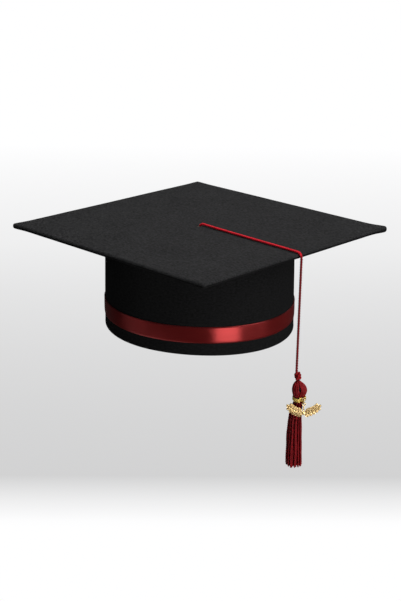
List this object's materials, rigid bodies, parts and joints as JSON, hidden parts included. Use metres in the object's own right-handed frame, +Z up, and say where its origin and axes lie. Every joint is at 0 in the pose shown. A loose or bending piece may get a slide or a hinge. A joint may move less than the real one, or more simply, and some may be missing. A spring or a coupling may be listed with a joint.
{
  "type": "graduation cap",
  "caption": "Square academic cap: fabric-covered board on a stiffened round crown, with a satin ribbon, and a twisted cord and tassel with a metal charm hanging over the board's edge.",
  "frame": {"origin": "middle of the crown's rim plane, which is the mouth of the head opening", "axes": "+Z up out of the board, the wearer looks along -Y; the board's corners lie on the X and Y axes and the cord goes over the wearer's left front edge"},
  "size_m": [0.3376, 0.3376, 0.1985],
  "materials": {
    "card": "matt stiff card",
    "black_cloth": "matt black woven cloth",
    "buckram": "stiff sized cloth",
    "lining_cloth": "smooth black lining",
    "black_thread": "matt sewing thread",
    "sweatband_cloth": "soft brushed tape",
    "elastic": "woven elastic",
    "red_satin": "glossy red satin",
    "red_thread": "sewing thread",
    "white_plastic": "matt",
    "red_cord": "silky twisted yarn",
    "gold_cord": "metallic gold cord",
    "gold_metal": "glittering gold plate"
  },
  "bodies": {
    "cap": {"board_core": "card", "board_top_cover": "black_cloth", "board_bottom_cover": "black_cloth", "crown_wall": "black_cloth", "crown_stiffener": "buckram", "crown_lining": "lining_cloth", "crown_tip": "lining_cloth", "crown_seam_stitches": "black_thread", "back_seam": "black_cloth", "rim_hem": "black_cloth", "sweatband": "sweatband_cloth", "elastic_band": "elastic", "ribbon_band": "red_satin", "ribbon_lap": "red_satin", "ribbon_stitches": "red_thread", "anchor_washer": "white_plastic"},
    "cord_across": {"anchor_knot": "red_cord", "cord_lead": "red_cord"},
    "cord_hanging": {"cord_drop": "red_cord"},
    "knot": {"cord_knot": "red_cord"},
    "tassel": {"tassel_bulb": "red_cord", "neck_tie": "red_thread", "gold_wrap": "gold_cord", "tassel_skirt": "red_cord"},
    "ring": {"jump_ring": "gold_metal"},
    "charm": {"charm": "gold_metal"}
  },
  "joints": [
    {"name": "cord_turn", "type": "hinge", "parent": "cap", "child": "cord_across", "pos_m": [0, 0, 0.092], "axis": [0, 0, 1], "range_deg": [-90, 180], "deforming": ["cord_lead"]},
    {"name": "tassel_swing", "type": "hinge", "parent": "cord_across", "child": "cord_hanging", "pos_m": [0.08336, -0.08784, 0.0921], "axis": [-0.7254, -0.6884, 0], "range_deg": [-20, 90], "deforming": ["cord_drop"]},
    {"name": "knot_sway", "type": "hinge", "parent": "cord_hanging", "child": "knot", "pos_m": [0.08412, -0.08864, -0.0149], "axis": [0.6884, -0.7254, 0], "range_deg": [-60, 60]},
    {"name": "tassel_twist", "type": "hinge", "parent": "knot", "child": "tassel", "pos_m": [0.08412, -0.08864, -0.02265], "axis": [0, 0, 1], "range_deg": [-180, 180]},
    {"name": "ring_swing", "type": "hinge", "parent": "tassel", "child": "ring", "pos_m": [0.09082, -0.09644, -0.0378], "axis": [-1, 0, 0], "range_deg": [0, 70]},
    {"name": "charm_sway", "type": "hinge", "parent": "ring", "child": "charm", "pos_m": [0.09082, -0.09644, -0.04135], "axis": [0, 1, 0], "range_deg": [-30, 30]}
  ]
}
